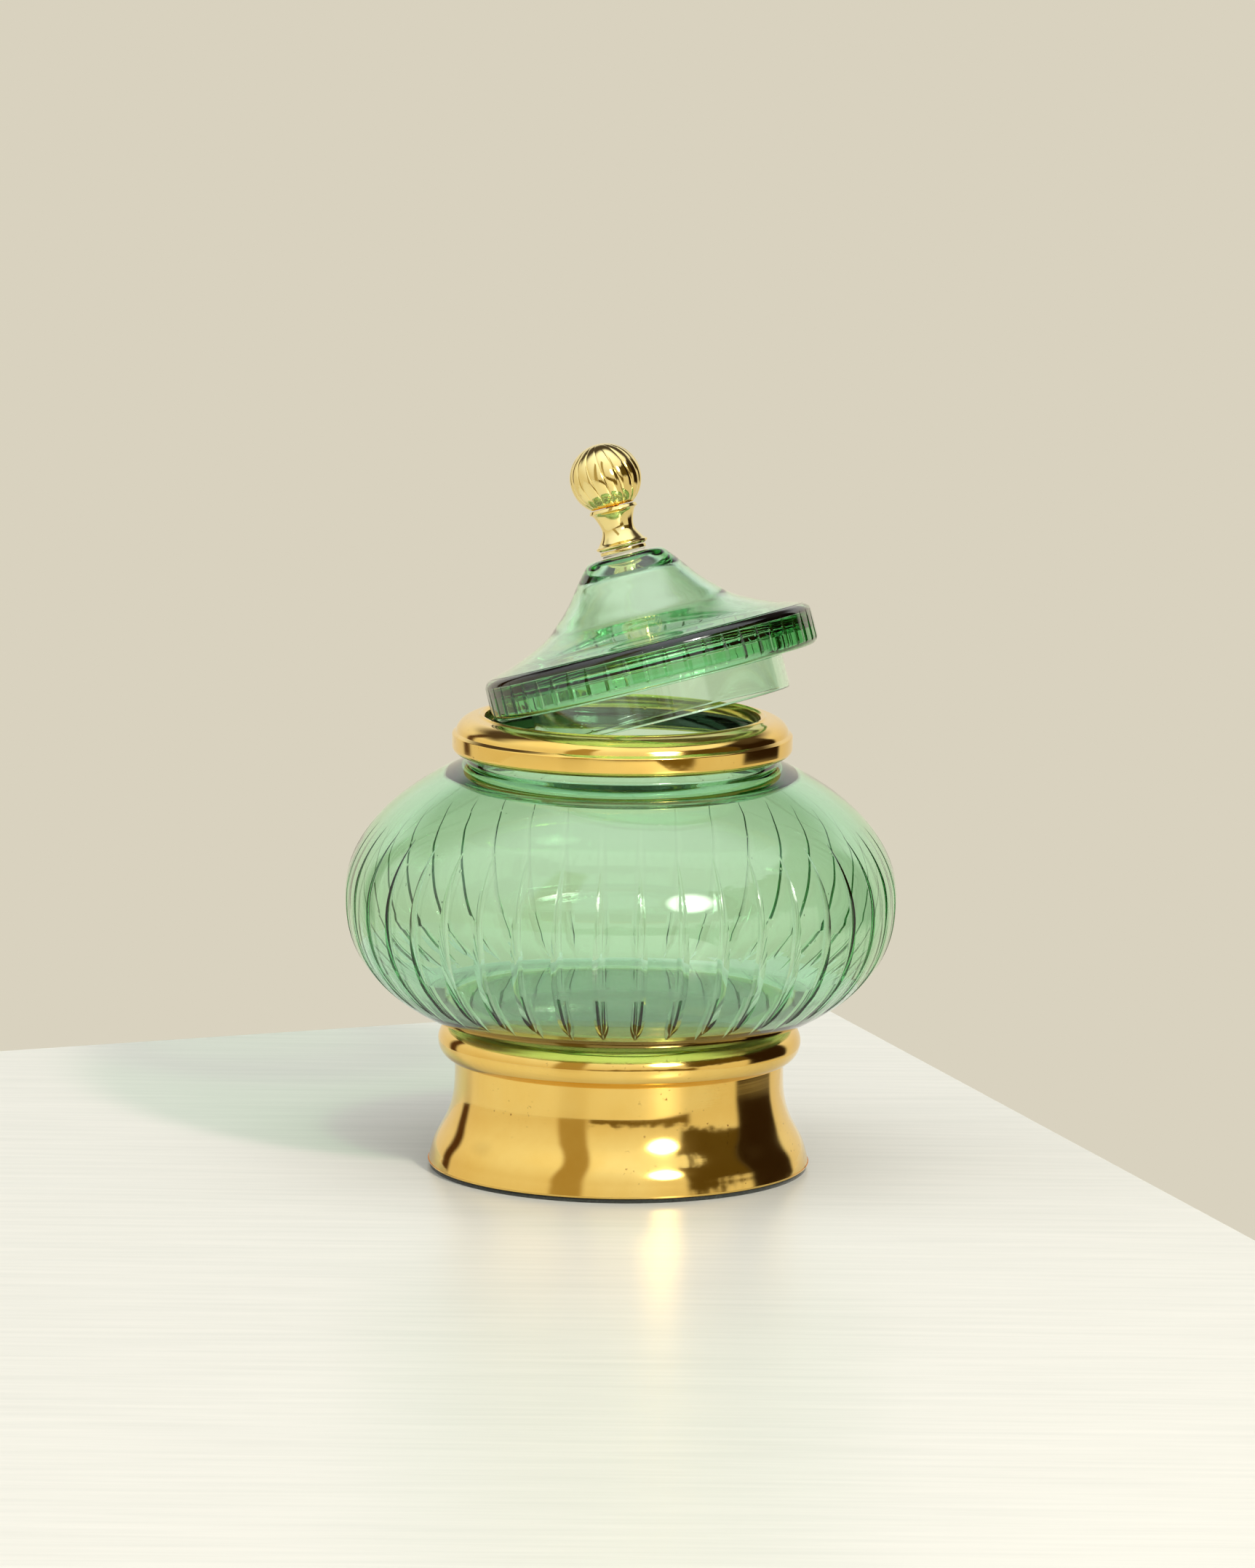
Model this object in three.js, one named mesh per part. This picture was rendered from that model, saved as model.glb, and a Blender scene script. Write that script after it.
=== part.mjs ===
// Footed glass storage jar: a brass foot, a cut glass bowl, a brass rim and a tent-shaped
// glass lid with a brass knob. The lid leans in the mouth, one side dropped inside the rim.
// Millimetres, +Z up. The origin is the middle of the felt under the foot.
import * as THREE from 'three';

// ---- Driving dimensions -------------------------------------------------------------------

const CLEARANCE = 0.3; // between pieces that touch
const FLATS = 0.2; // more of it where a many-sided round sits inside another

const FELT_INSET = 0.7; // the felt's edge, inside the foot's
const FELT_THICKNESS = 1.2;

const FOOT_RADIUS = 69.3; // at the floor
const FOOT_WAIST_RADIUS = 59.7;
const FOOT_HEIGHT = 39.7; // to the crease under the bead
const FOOT_CURVE = [[0.9, 0.14], [0.74, 0.26], [0.27, 0.48], [0.04, 0.7]]; // shares of the flare and height
const FOOT_WALL = 2.6;
const FOOT_FLANGE = 7.5; // turned-in rim that the felt is glued to
const BEAD_SIZE = 7; // radius of the bead's round section
const BEAD_INSET = 0.8; // the bead's middle, inside the waist
const BOWL_BEDDING = 5; // width of the cement ring under the glass
const BOWL_BEDDING_DEPTH = 8;

const BOWL_RADIUS = 100;
const BOWL_BELLY_RISE = 46; // from the glass base up to the widest place
const BOWL_SEAT = 5.5; // how far the flat base reaches out past the bead's crest
const BOWL_LOWER_FULLNESS = 2.3; // 2 is an ellipse, more is squarer
const BOWL_UPPER_HALF = 59;
const BOWL_WALL = 4;
const BOWL_FLOOR = 7;
const BOWL_CUTS = 42;
const BOWL_CUT_DEPTH = 0.8;
const BOWL_CUT_BELOW = 37; // reach of the cuts below the widest place
const BOWL_CUT_ABOVE = 28;

const NECK_RADIUS = 56;
const NECK_WALL = 4.2;
const NECK_HEIGHT = 12.6; // from the shoulder to the top of the glass
const NECK_ROOT = 10; // how far the neck's bore runs down past the shoulder
const NECK_FLARE = 4; // how far the bore opens out under the shoulder

const COLLAR_OVERHANG = 5.6; // from the neck's outer face to the collar's
const COLLAR_RISE = 4.5; // above the top of the glass
const COLLAR_DROP = 9.5; // from the top of the glass down to the collar's lower edge
const COLLAR_SHEET = 2;
const COLLAR_LIP = 1.6; // thickness of the lip that hangs inside the neck's bore
const COLLAR_LIP_DROP = 0.5; // below the top of the glass
const COLLAR_ROLL = 2.6; // radius of the rolled lower edge
const COLLAR_HEM = 1.3; // from the neck to the turned-in lower edge
const COLLAR_BAND = 7; // height of the upright band, from the lower edge
const COLLAR_STEP = 1.3; // inwards, above the band
const COLLAR_DOME = [[0.7, 0.29], [2.4, 0.6], [4.9, 0.81]]; // inwards of the step, share of the rise
const COLLAR_ROOM = 1.9; // above the glass, inside the collar

const LID_OVERHANG = 10.7; // the band's edge, outside the mouth
const LID_BAND_HEIGHT = 13.4;
const LID_BAND_ROUND = 3;
const LID_HEIGHT = 40.9; // from the middle of the band to the flat under the knob
const LID_TOP_RADIUS = 15.4;
const LID_CURVE = [[0.95, 0.06], [0.72, 0.15], [0.45, 0.31], [0.31, 0.46], [0.19, 0.62], [0.08, 0.81]];
const LID_CROWN = 4.4; // width of the round above the slope
const LID_CROWN_RISE = 3;
const LID_WALL = 3.6;
const LID_CUTS = 52;
const LID_CUT_DEPTH = 0.45;
const FLANGE_PLAY = 3.2; // between the flange and the mouth
const FLANGE_WALL = 2.4;
const FLANGE_DROP = 12.9; // below the band

const LID_TILT = 14.6; // degrees, the +X side raised
const LID_LEAN = 7; // degrees, the -Y side raised
const LID_FORWARD = 5.5; // how far the lid sits towards -Y
const LID_TUCK = 1.6; // how far inside the mouth the band's low edge drops

const KNOB_BOND = 0.5; // thickness of the adhesive under the knob
const BOND_INSET = 0.6; // its edge, inside the knob's foot
const KNOB_FOOT_RADIUS = 8.4;
const KNOB_FOOT_HEIGHT = 1.3;
const STEM_LIP_RADIUS = 9.4;
const STEM_WAIST_RADIUS = 5.8;
const STEM_CUP_RADIUS = 8.9;
const STEM_HEIGHT = 14.9;
const BALL_RADIUS = 13;
const BALL_HALF_HEIGHT = 12.7;
const CUP_RIM = 1.3; // the cup's edge, outside the flat that the ball sits on
const BALL_LOBES = 16;
const BALL_LOBE_DEPTH = 0.5;
const BALL_TWIST = -12; // degrees, from the middle of the ball to its top
const STUD_RADIUS = 2.5;
const STUD_IN_BALL = 7;

// ---- Sizes that follow from them -----------------------------------------------------------

const footBottom = FELT_THICKNESS + CLEARANCE;
const beadCentre = FOOT_HEIGHT + BEAD_SIZE;
const beadRadius = FOOT_WAIST_RADIUS - BEAD_INSET;
const bowlBase = beadCentre + BEAD_SIZE + CLEARANCE;
const belly = bowlBase + BOWL_BELLY_RISE;
const shoulder = belly + BOWL_UPPER_HALF * Math.sqrt(1 - (NECK_RADIUS / BOWL_RADIUS) ** 2);
const glassTop = shoulder + NECK_HEIGHT;
const neckBore = NECK_RADIUS - NECK_WALL;
const collarRadius = NECK_RADIUS + COLLAR_OVERHANG;
const collarBottom = glassTop - COLLAR_DROP;
const collarTop = glassTop + COLLAR_RISE;
const mouthRadius = neckBore - CLEARANCE - FLATS - COLLAR_LIP;
const lidRadius = mouthRadius + LID_OVERHANG;
const flangeRadius = mouthRadius - FLANGE_PLAY;
const bandHalf = LID_BAND_HEIGHT / 2;
const knobBase = LID_HEIGHT + CLEARANCE;
const footRing = knobBase + KNOB_BOND + CLEARANCE;
const stemBase = footRing + KNOB_FOOT_HEIGHT + CLEARANCE;
const stemTop = stemBase + STEM_HEIGHT;
const ballBase = stemTop + CLEARANCE;
const ballSeat = STEM_CUP_RADIUS - CUP_RIM;
const studBore = STUD_RADIUS + CLEARANCE;

// ---- Finishes ------------------------------------------------------------------------------

const brass = () => new THREE.MeshStandardMaterial({ color: 0xd9a441, roughness: 0.12, metalness: 1 });
const glass = () => new THREE.MeshStandardMaterial({
  color: 0x7fc596, roughness: 0.04, metalness: 0, transparent: true, opacity: 0.5,
});
const cement = () => new THREE.MeshStandardMaterial({ color: 0xcfc6b2, roughness: 0.9, metalness: 0 });
const felt = () => new THREE.MeshStandardMaterial({ color: 0x1e2420, roughness: 1, metalness: 0 });
const steel = () => new THREE.MeshStandardMaterial({ color: 0x9a9a98, roughness: 0.35, metalness: 1 });

// ---- Outlines ------------------------------------------------------------------------------

const radians = (degrees) => THREE.MathUtils.degToRad(degrees);
const at = (radius, height) => new THREE.Vector2(radius, height);

// Points of an oval arc about (radius, height). Angle 0 points outwards and 90 up, in degrees.
// A fullness of 2 is an ellipse, and more makes it squarer.
function arc(radius, height, wide, tall, from, to, steps, fullness = 2) {
  const power = (value) => Math.sign(value) * Math.abs(value) ** (2 / fullness);
  return Array.from({ length: steps + 1 }, (_, step) => {
    const angle = radians(from + ((to - from) * step) / steps);
    return at(radius + wide * power(Math.cos(angle)), height + tall * power(Math.sin(angle)));
  });
}

// Points of a smooth line through a few chosen ones.
const smooth = (points, steps) => new THREE.SplineCurve(points).getPoints(steps);

// Angle, in degrees, at which an oval arc has narrowed from its full width to a radius.
const angleAtRadius = (radius, wide, fullness = 2) =>
  THREE.MathUtils.radToDeg(Math.acos((radius / wide) ** (fullness / 2)));

// Angle, in degrees, at which an oval arc has risen to a height.
const angleAtHeight = (height, tall, fullness = 2) =>
  THREE.MathUtils.radToDeg(Math.asin((height / tall) ** (fullness / 2)));

// ---- Surfaces of revolution ----------------------------------------------------------------

// Outlines of the two plainest solids: a disc, and a ring of square section.
const disc = (radius, bottom, top) => [at(0, bottom), at(radius, bottom), at(radius, top), at(0, top)];
const ring = (inner, outer, bottom, top) =>
  [at(inner, bottom), at(outer, bottom), at(outer, top), at(inner, top), at(inner, bottom)];

// Turns an outline about Z, with its first column on +X. It runs up the outside and down the inside.
const turned = (outline, columns) =>
  new THREE.LatheGeometry(outline, columns).rotateX(Math.PI / 2).rotateZ(Math.PI / 2);

// Moves each point of a turned surface: change gets its radius, angle and height, and returns
// its new radius and angle.
function reshape(geometry, change) {
  const positions = geometry.getAttribute('position');
  for (let index = 0; index < positions.count; index += 1) {
    const [x, y, z] = [positions.getX(index), positions.getY(index), positions.getZ(index)];
    const [radius, angle] = change(Math.hypot(x, y), Math.atan2(y, x), z);
    positions.setXY(index, radius * Math.cos(angle), radius * Math.sin(angle));
  }
  return geometry;
}

// A surface with cuts or lobes has two columns of points to each: one along its middle and one
// halfway to the next. The first is on +X.
const COLUMNS_PER_CUT = 2;
const isMiddle = (angle, count) =>
  Math.round((angle / (2 * Math.PI)) * count * COLUMNS_PER_CUT) % COLUMNS_PER_CUT === 0;

// Grinds upright V cuts into the outer wall between two heights, deepest at mid-height.
function cutWall(outline, { count, depth, low, high, wall }) {
  return reshape(turned(outline, count * COLUMNS_PER_CUT), (radius, angle, height) => {
    const along = (height - low) / (high - low);
    const inCut = along > 0 && along < 1 && isMiddle(angle, count) && radius > wall(height);
    return [inCut ? radius - depth * Math.sqrt(Math.sin(Math.PI * along)) : radius, angle];
  });
}

function piece(name, geometry, material) {
  const mesh = new THREE.Mesh(geometry, material);
  mesh.name = name;
  return mesh;
}

// ---- Foot ----------------------------------------------------------------------------------

// Runs up the outside, round the bead, and down the inside of the wall.
function footOutline() {
  const flare = FOOT_RADIUS - FOOT_WAIST_RADIUS;
  const skirt = (wall) => smooth([
    at(FOOT_RADIUS - wall, footBottom + wall),
    ...FOOT_CURVE.map(([out, up]) => at(FOOT_WAIST_RADIUS + flare * out - wall, FOOT_HEIGHT * up)),
    at(FOOT_WAIST_RADIUS - wall, FOOT_HEIGHT),
  ], 6);
  const bead = arc(beadRadius, beadCentre, BEAD_SIZE, BEAD_SIZE, -83, 130, 8);
  const flangeEdge = FOOT_RADIUS - FOOT_FLANGE;
  return [
    at(flangeEdge, footBottom),
    ...skirt(0),
    ...bead,
    at(bead.at(-1).x, beadCentre - BEAD_SIZE * 0.6),
    ...skirt(FOOT_WALL).reverse(),
    at(flangeEdge, footBottom + FOOT_WALL),
    at(flangeEdge, footBottom),
  ];
}

// Bedding that holds the glass down: a ring inside the bead, against the underside of the bowl.
function bowlCementOutline() {
  const innerBead = arc(beadRadius, beadCentre, BEAD_SIZE, BEAD_SIZE, 90, 130, 1).at(-1).x;
  const outer = innerBead - CLEARANCE;
  const top = bowlBase - CLEARANCE;
  return ring(outer - BOWL_BEDDING, outer, top - BOWL_BEDDING_DEPTH, top);
}

// ---- Bowl ----------------------------------------------------------------------------------

// Half-height of the full lower oval, which the flat base cuts off.
const lowerHalf = BOWL_BELLY_RISE
  / (1 - ((beadRadius + BOWL_SEAT) / BOWL_RADIUS) ** BOWL_LOWER_FULLNESS) ** (1 / BOWL_LOWER_FULLNESS);

function bowlOutline() {
  const baseAngle = angleAtHeight(BOWL_BELLY_RISE, lowerHalf, BOWL_LOWER_FULLNESS);
  const lower = arc(0, belly, BOWL_RADIUS, -lowerHalf, baseAngle, 0, 7, BOWL_LOWER_FULLNESS);
  const upper = arc(0, belly, BOWL_RADIUS, BOWL_UPPER_HALF, 0, angleAtRadius(NECK_RADIUS, BOWL_RADIUS), 6);
  const round = NECK_WALL / 2;
  const rim = arc(NECK_RADIUS - round, glassTop - round, round, round, 0, 180, 4);
  const flareTop = shoulder - NECK_ROOT + NECK_FLARE;
  const throat = arc(neckBore + NECK_FLARE, flareTop, NECK_FLARE, NECK_FLARE, 180, 270, 2);
  const innerRadius = BOWL_RADIUS - BOWL_WALL;
  const innerShoulder = angleAtRadius(neckBore + NECK_FLARE * 2.5, innerRadius);
  const innerUpper = arc(0, belly, innerRadius, BOWL_UPPER_HALF - BOWL_WALL, innerShoulder, 0, 3);
  const innerFloor = bowlBase + BOWL_FLOOR;
  const innerHalf = lowerHalf - BOWL_WALL;
  const floorAngle = angleAtHeight(belly - innerFloor, innerHalf, BOWL_LOWER_FULLNESS);
  const innerLower = arc(0, belly, innerRadius, -innerHalf, 0, floorAngle, 6, BOWL_LOWER_FULLNESS);
  return [
    at(0, bowlBase),
    ...lower,
    ...upper.slice(1),
    ...rim,
    ...throat,
    ...innerUpper,
    ...innerLower.slice(1),
    at(0, innerFloor),
  ];
}

function bowlGeometry() {
  const wide = (height) => {
    const half = height < belly ? lowerHalf : BOWL_UPPER_HALF;
    const fullness = height < belly ? BOWL_LOWER_FULLNESS : 2;
    const rise = Math.min(Math.abs(height - belly) / half, 1);
    return BOWL_RADIUS * (1 - rise ** fullness) ** (1 / fullness);
  };
  return cutWall(bowlOutline(), {
    count: BOWL_CUTS,
    depth: BOWL_CUT_DEPTH,
    low: belly - BOWL_CUT_BELOW,
    high: belly + BOWL_CUT_ABOVE,
    wall: (height) => Math.max(wide(height) - BOWL_WALL / 2, neckBore),
  });
}

// ---- Rim collar ----------------------------------------------------------------------------

// An upside-down channel: rolled lower edge, flat band, fine step, domed top, small inner lip.
function collarOutline() {
  const step = collarRadius - COLLAR_STEP;
  const dome = collarBottom + COLLAR_BAND + COLLAR_STEP * 0.7;
  const domeHeight = collarTop - dome;
  const lipOuter = mouthRadius + COLLAR_LIP;
  const lipRound = COLLAR_LIP * 0.6;
  const hem = NECK_RADIUS + COLLAR_HEM;
  const underside = collarRadius - COLLAR_SHEET;
  const roof = glassTop + COLLAR_ROOM;
  return [
    at(hem, collarBottom + COLLAR_SHEET * 0.25),
    at(hem + COLLAR_SHEET / 2, collarBottom),
    ...arc(collarRadius - COLLAR_ROLL, collarBottom + COLLAR_ROLL, COLLAR_ROLL, COLLAR_ROLL, -90, 0, 2),
    at(collarRadius, collarBottom + COLLAR_BAND),
    at(step, dome),
    ...COLLAR_DOME.map(([inwards, up]) => at(step - inwards, dome + domeHeight * up)),
    at(lipOuter + lipRound, collarTop - lipRound),
    ...arc(mouthRadius + lipRound, collarTop - lipRound, lipRound, lipRound, 90, 180, 2),
    at(mouthRadius, glassTop - COLLAR_LIP_DROP),
    at(lipOuter, glassTop - COLLAR_LIP_DROP),
    at(lipOuter, roof),
    at(NECK_RADIUS, roof),
    at(underside - COLLAR_SHEET, roof - COLLAR_SHEET),
    at(underside, roof - COLLAR_SHEET * 3),
    at(underside, collarBottom + COLLAR_SHEET),
    at(hem, collarBottom + COLLAR_SHEET),
    at(hem, collarBottom + COLLAR_SHEET * 0.25),
  ];
}

// Bedding between the neck and the collar's skirt.
const rimCementOutline = () => ring(
  NECK_RADIUS + CLEARANCE,
  collarRadius - COLLAR_SHEET - CLEARANCE - FLATS,
  collarBottom + COLLAR_SHEET + CLEARANCE,
  glassTop + COLLAR_ROOM - COLLAR_SHEET * 3 - CLEARANCE,
);

// ---- Lid, in its own frame: the origin is the middle of the band ---------------------------

// The concave slope from the rounded top down to the band, or the same line inside the wall.
// The wall grows thicker towards the band.
function lidSlope(wall, steps) {
  const drop = LID_HEIGHT - bandHalf;
  const run = lidRadius - LID_TOP_RADIUS;
  return smooth(LID_CURVE.map(([out, up]) => at(
    LID_TOP_RADIUS + run * out - wall * (1 - out * 0.75),
    bandHalf + drop * up - wall * (0.35 + out * 0.6),
  )), steps);
}

// Quarter round on the band's edge, starting at an angle.
const bandRound = (height, from, to) =>
  arc(lidRadius - LID_BAND_ROUND, height, LID_BAND_ROUND, LID_BAND_ROUND, from, to, 2);

function lidOutline() {
  const flangeBottom = -bandHalf - FLANGE_DROP;
  const bore = flangeRadius - FLANGE_WALL;
  const crownHeight = LID_HEIGHT - LID_CROWN_RISE;
  return [
    at(0, LID_HEIGHT - LID_WALL),
    at(LID_TOP_RADIUS * 0.6, LID_HEIGHT - LID_WALL * 1.1),
    ...lidSlope(LID_WALL, 4).reverse(),
    at(bore, 0),
    at(bore, flangeBottom),
    at(flangeRadius, flangeBottom),
    at(flangeRadius, -bandHalf),
    ...bandRound(LID_BAND_ROUND - bandHalf, -90, 0),
    ...bandRound(bandHalf - LID_BAND_ROUND / 3, 0, 75),
    ...lidSlope(0, 6),
    ...arc(LID_TOP_RADIUS - LID_CROWN, crownHeight, LID_CROWN, LID_CROWN_RISE, 20, 90, 2),
    at(0, LID_HEIGHT),
  ];
}

const lidGeometry = () => cutWall(lidOutline(), {
  count: LID_CUTS,
  depth: LID_CUT_DEPTH,
  low: -bandHalf + 1,
  high: bandHalf - 0.5,
  wall: () => lidRadius - LID_BAND_ROUND,
});

// ---- Knob ----------------------------------------------------------------------------------

function knobFootOutline() {
  const top = footRing + KNOB_FOOT_HEIGHT;
  return [
    at(studBore, footRing),
    at(KNOB_FOOT_RADIUS - 0.3, footRing),
    at(KNOB_FOOT_RADIUS, footRing + 0.3),
    at(KNOB_FOOT_RADIUS, top),
    at(studBore, top),
    at(studBore, footRing),
  ];
}

function stemOutline() {
  const waist = smooth([
    at(STEM_LIP_RADIUS, stemBase + STEM_HEIGHT * 0.09),
    at(STEM_LIP_RADIUS - 1.5, stemBase + STEM_HEIGHT * 0.18),
    at(STEM_WAIST_RADIUS, stemBase + STEM_HEIGHT * 0.47),
    at(STEM_CUP_RADIUS - 1.6, stemBase + STEM_HEIGHT * 0.82),
    at(STEM_CUP_RADIUS, stemBase + STEM_HEIGHT * 0.92),
  ], 7);
  return [
    at(studBore, stemBase),
    at(STEM_LIP_RADIUS - 0.9, stemBase),
    at(STEM_LIP_RADIUS, stemBase + 0.7),
    ...waist,
    at(STEM_CUP_RADIUS - 0.5, stemTop),
    at(studBore, stemTop),
    at(studBore, stemBase),
  ];
}

const ballCentre = ballBase + BALL_HALF_HEIGHT * Math.sqrt(1 - (ballSeat / BALL_RADIUS) ** 2);

function ballOutline() {
  const seat = -angleAtRadius(ballSeat, BALL_RADIUS);
  const socketTop = stemTop + STUD_IN_BALL + CLEARANCE;
  return [
    at(0, socketTop),
    at(studBore, socketTop),
    at(studBore, ballBase),
    ...arc(0, ballCentre, BALL_RADIUS, BALL_HALF_HEIGHT, seat, 85, 8),
    at(0, ballCentre + BALL_HALF_HEIGHT),
  ];
}

// Gadroons: round lobes with sharp valleys, turning a little about the axis as they climb.
function ballGeometry() {
  return reshape(turned(ballOutline(), BALL_LOBES * COLUMNS_PER_CUT), (radius, angle, height) => {
    const climb = (height - ballCentre) / BALL_HALF_HEIGHT;
    const onSkin = radius > studBore + 0.01;
    const fade = Math.sqrt(Math.max(1 - climb ** 2, 0));
    const groove = onSkin && isMiddle(angle, BALL_LOBES) ? BALL_LOBE_DEPTH * fade : 0;
    return [radius - groove, angle + (onSkin ? radians(BALL_TWIST) * climb : 0)];
  });
}

const bondOutline = () => disc(KNOB_FOOT_RADIUS - BOND_INSET, knobBase, knobBase + KNOB_BOND);
const studOutline = () => disc(STUD_RADIUS, footRing + CLEARANCE, stemTop + STUD_IN_BALL);

// ---- Where the leaning lid comes to rest ---------------------------------------------------

// The same outline with a point every half millimetre or less.
function dense(outline) {
  return outline.slice(1).flatMap((end, index) => {
    const start = outline[index];
    const count = Math.max(1, Math.ceil(start.distanceTo(end) * 2));
    return Array.from({ length: count }, (_, step) => start.clone().lerp(end, (step + 1) / count));
  });
}

// Height of the lid's origin when the tilted lid, lowered straight down, has come within the
// clearance of the collar or of the glass below it.
function restingHeight(tilt, shift, forward) {
  const seat = [...dense(collarOutline()), ...dense(bowlOutline().filter((p) => p.y > belly))];
  const topAt = (radius) => seat.reduce((highest, p) => {
    const aside = Math.abs(p.x - radius);
    return aside < CLEARANCE ? Math.max(highest, p.y + Math.sqrt(CLEARANCE ** 2 - aside ** 2)) : highest;
  }, -Infinity);
  const steps = 180;
  const heights = dense(lidOutline()).filter((p) => p.y < bandHalf).flatMap((p) =>
    Array.from({ length: steps }, (_, step) => {
      const angle = (2 * Math.PI * step) / steps;
      const place = new THREE.Vector3(p.x * Math.cos(angle), p.x * Math.sin(angle), p.y);
      place.applyEuler(tilt);
      return topAt(Math.hypot(place.x + shift, place.y - forward)) - place.z;
    }));
  return heights.reduce((highest, height) => Math.max(highest, height), -Infinity);
}

// ---- Assembly ------------------------------------------------------------------------------

const ROUND_COLUMNS = 48;
const SMALL_COLUMNS = 20;

const lid = new THREE.Group();
const lidTilt = new THREE.Euler(-radians(LID_LEAN), -radians(LID_TILT), 0);
const lidShift = lidRadius * Math.cos(radians(LID_TILT)) - (mouthRadius - LID_TUCK);
lid.rotation.copy(lidTilt);
lid.position.set(lidShift, -LID_FORWARD, restingHeight(lidTilt, lidShift, LID_FORWARD));

lid.add(
  piece('glass_lid', lidGeometry(), glass()),
  piece('knob_bond', turned(bondOutline(), SMALL_COLUMNS), cement()),
  piece('knob_foot', turned(knobFootOutline(), SMALL_COLUMNS), brass()),
  piece('knob_stem', turned(stemOutline(), SMALL_COLUMNS), brass()),
  piece('knob_ball', ballGeometry(), brass()),
  piece('knob_stud', turned(studOutline(), SMALL_COLUMNS), steel()),
);

const jar = new THREE.Group();
jar.add(
  piece('base_felt', turned(disc(FOOT_RADIUS - FELT_INSET, 0, FELT_THICKNESS), ROUND_COLUMNS), felt()),
  piece('base_pedestal', turned(footOutline(), ROUND_COLUMNS), brass()),
  piece('bowl_cement', turned(bowlCementOutline(), ROUND_COLUMNS), cement()),
  piece('glass_bowl', bowlGeometry(), glass()),
  piece('rim_cement', turned(rimCementOutline(), ROUND_COLUMNS), cement()),
  piece('rim_collar', turned(collarOutline(), ROUND_COLUMNS), brass()),
  lid,
);

export default jar;
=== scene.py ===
# %% [markdown]
# # A footed glass jar with a leaning lid
#
# The jar stands on a spun brass foot. Its bowl and lid are sea-green glass with ground cuts, and a
# brass collar covers the rim. The frame holds each piece as a many-sided solid of the right size.
# This lesson works out the same shapes again as smooth surfaces, and gives each one its finish.

# %% The frame
import math

import bpy
import numpy as np
from mathutils import Matrix, Vector


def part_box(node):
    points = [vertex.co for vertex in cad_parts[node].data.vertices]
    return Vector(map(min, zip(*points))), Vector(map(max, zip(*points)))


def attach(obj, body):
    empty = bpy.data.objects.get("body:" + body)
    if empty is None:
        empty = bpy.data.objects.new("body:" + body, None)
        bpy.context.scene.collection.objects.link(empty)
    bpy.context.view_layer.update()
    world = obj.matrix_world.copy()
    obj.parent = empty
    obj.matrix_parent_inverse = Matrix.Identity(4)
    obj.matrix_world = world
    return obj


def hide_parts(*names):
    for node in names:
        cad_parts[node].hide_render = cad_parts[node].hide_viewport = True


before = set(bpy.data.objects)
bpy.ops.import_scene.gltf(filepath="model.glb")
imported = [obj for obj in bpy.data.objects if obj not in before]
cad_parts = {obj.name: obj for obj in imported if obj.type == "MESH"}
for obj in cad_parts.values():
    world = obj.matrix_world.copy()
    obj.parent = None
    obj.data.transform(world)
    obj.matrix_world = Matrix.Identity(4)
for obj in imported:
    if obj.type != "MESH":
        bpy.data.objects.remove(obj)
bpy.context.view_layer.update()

MM = 0.001

# %% [markdown]
# ## Measures
#
# The outer sizes are read from the frame, in millimetres, so the surfaces can't drift away from it.
# What a box can't tell, such as where the bowl is widest, is a named value here.

# %% Sizes read from the frame
def span(node):
    """Lowest and highest corner of a frame node, in millimetres."""
    low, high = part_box(node)
    return np.array(low) / MM, np.array(high) / MM


felt_high = span("base_felt")[1]
foot_low, foot_high = span("base_pedestal")
bowl_low, bowl_high = span("glass_bowl")
collar_low, collar_high = span("rim_collar")

FELT_RADIUS = felt_high[1]
FOOT_RADIUS = foot_high[1]
BOWL_RADIUS = bowl_high[1]
COLLAR_RADIUS = collar_high[1]
BOWL_BASE = bowl_low[2]
GLASS_TOP = bowl_high[2] + 0.02
print(f"bowl {2 * BOWL_RADIUS:.0f} mm across, its glass {BOWL_BASE:.1f} to {GLASS_TOP:.1f} mm up")

# %% Sizes named for the brass and the glass, in millimetres
FOOT_WAIST = 59.7
FOOT_CREASE = 39.7
FOOT_CURVE = ((0.9, 0.14), (0.74, 0.26), (0.27, 0.48), (0.04, 0.7))
FOOT_WALL = 2.6
FOOT_FLANGE = 7.5
BEAD = 7.0
BEAD_MIDDLE = FOOT_CREASE + BEAD
BEAD_RADIUS = FOOT_WAIST - 0.8

BELLY = BOWL_BASE + 46.0
BASE_RADIUS = BEAD_RADIUS + 5.5
LOWER_FULLNESS = 2.3
UPPER_HALF = 59.0
BOWL_WALL = 4.0
BOWL_FLOOR = 7.0
NECK_RADIUS = 56.0
NECK_WALL = 4.2
NECK_ROOT = 10.0
NECK_FLARE = 4.0
SHOULDER = BELLY + UPPER_HALF * math.sqrt(1 - (NECK_RADIUS / BOWL_RADIUS) ** 2)

COLLAR_SHEET = 2.0
COLLAR_LIP = 1.6
COLLAR_ROLL = 2.6
COLLAR_HEM = 1.3
COLLAR_BAND = 7.0
COLLAR_STEP = 1.3
COLLAR_DOME = ((0.7, 0.29), (2.4, 0.6), (4.9, 0.81))
COLLAR_ROOM = 1.9
MOUTH = NECK_RADIUS - NECK_WALL - 0.5 - COLLAR_LIP

LID_RADIUS = MOUTH + 10.7
LID_BAND = 13.4
LID_BAND_ROUND = 3.0
LID_HEIGHT = 40.9
LID_TOP = 15.4
LID_CURVE = ((0.95, 0.06), (0.72, 0.15), (0.45, 0.31), (0.31, 0.46), (0.19, 0.62), (0.08, 0.81))
LID_CROWN = 4.4
LID_CROWN_RISE = 3.0
LID_WALL = 3.6
FLANGE = MOUTH - 3.2
FLANGE_WALL = 2.4
FLANGE_DROP = 12.9

# %% [markdown]
# ## Outlines
#
# Everything here is turned, blown into a round mould or ground on a wheel, so each piece starts as
# an outline of radius against height. It runs up the outside and down the inside. Three helpers
# draw one: a piece of an oval, a smooth line through a few points, and a corner worn round.

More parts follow.
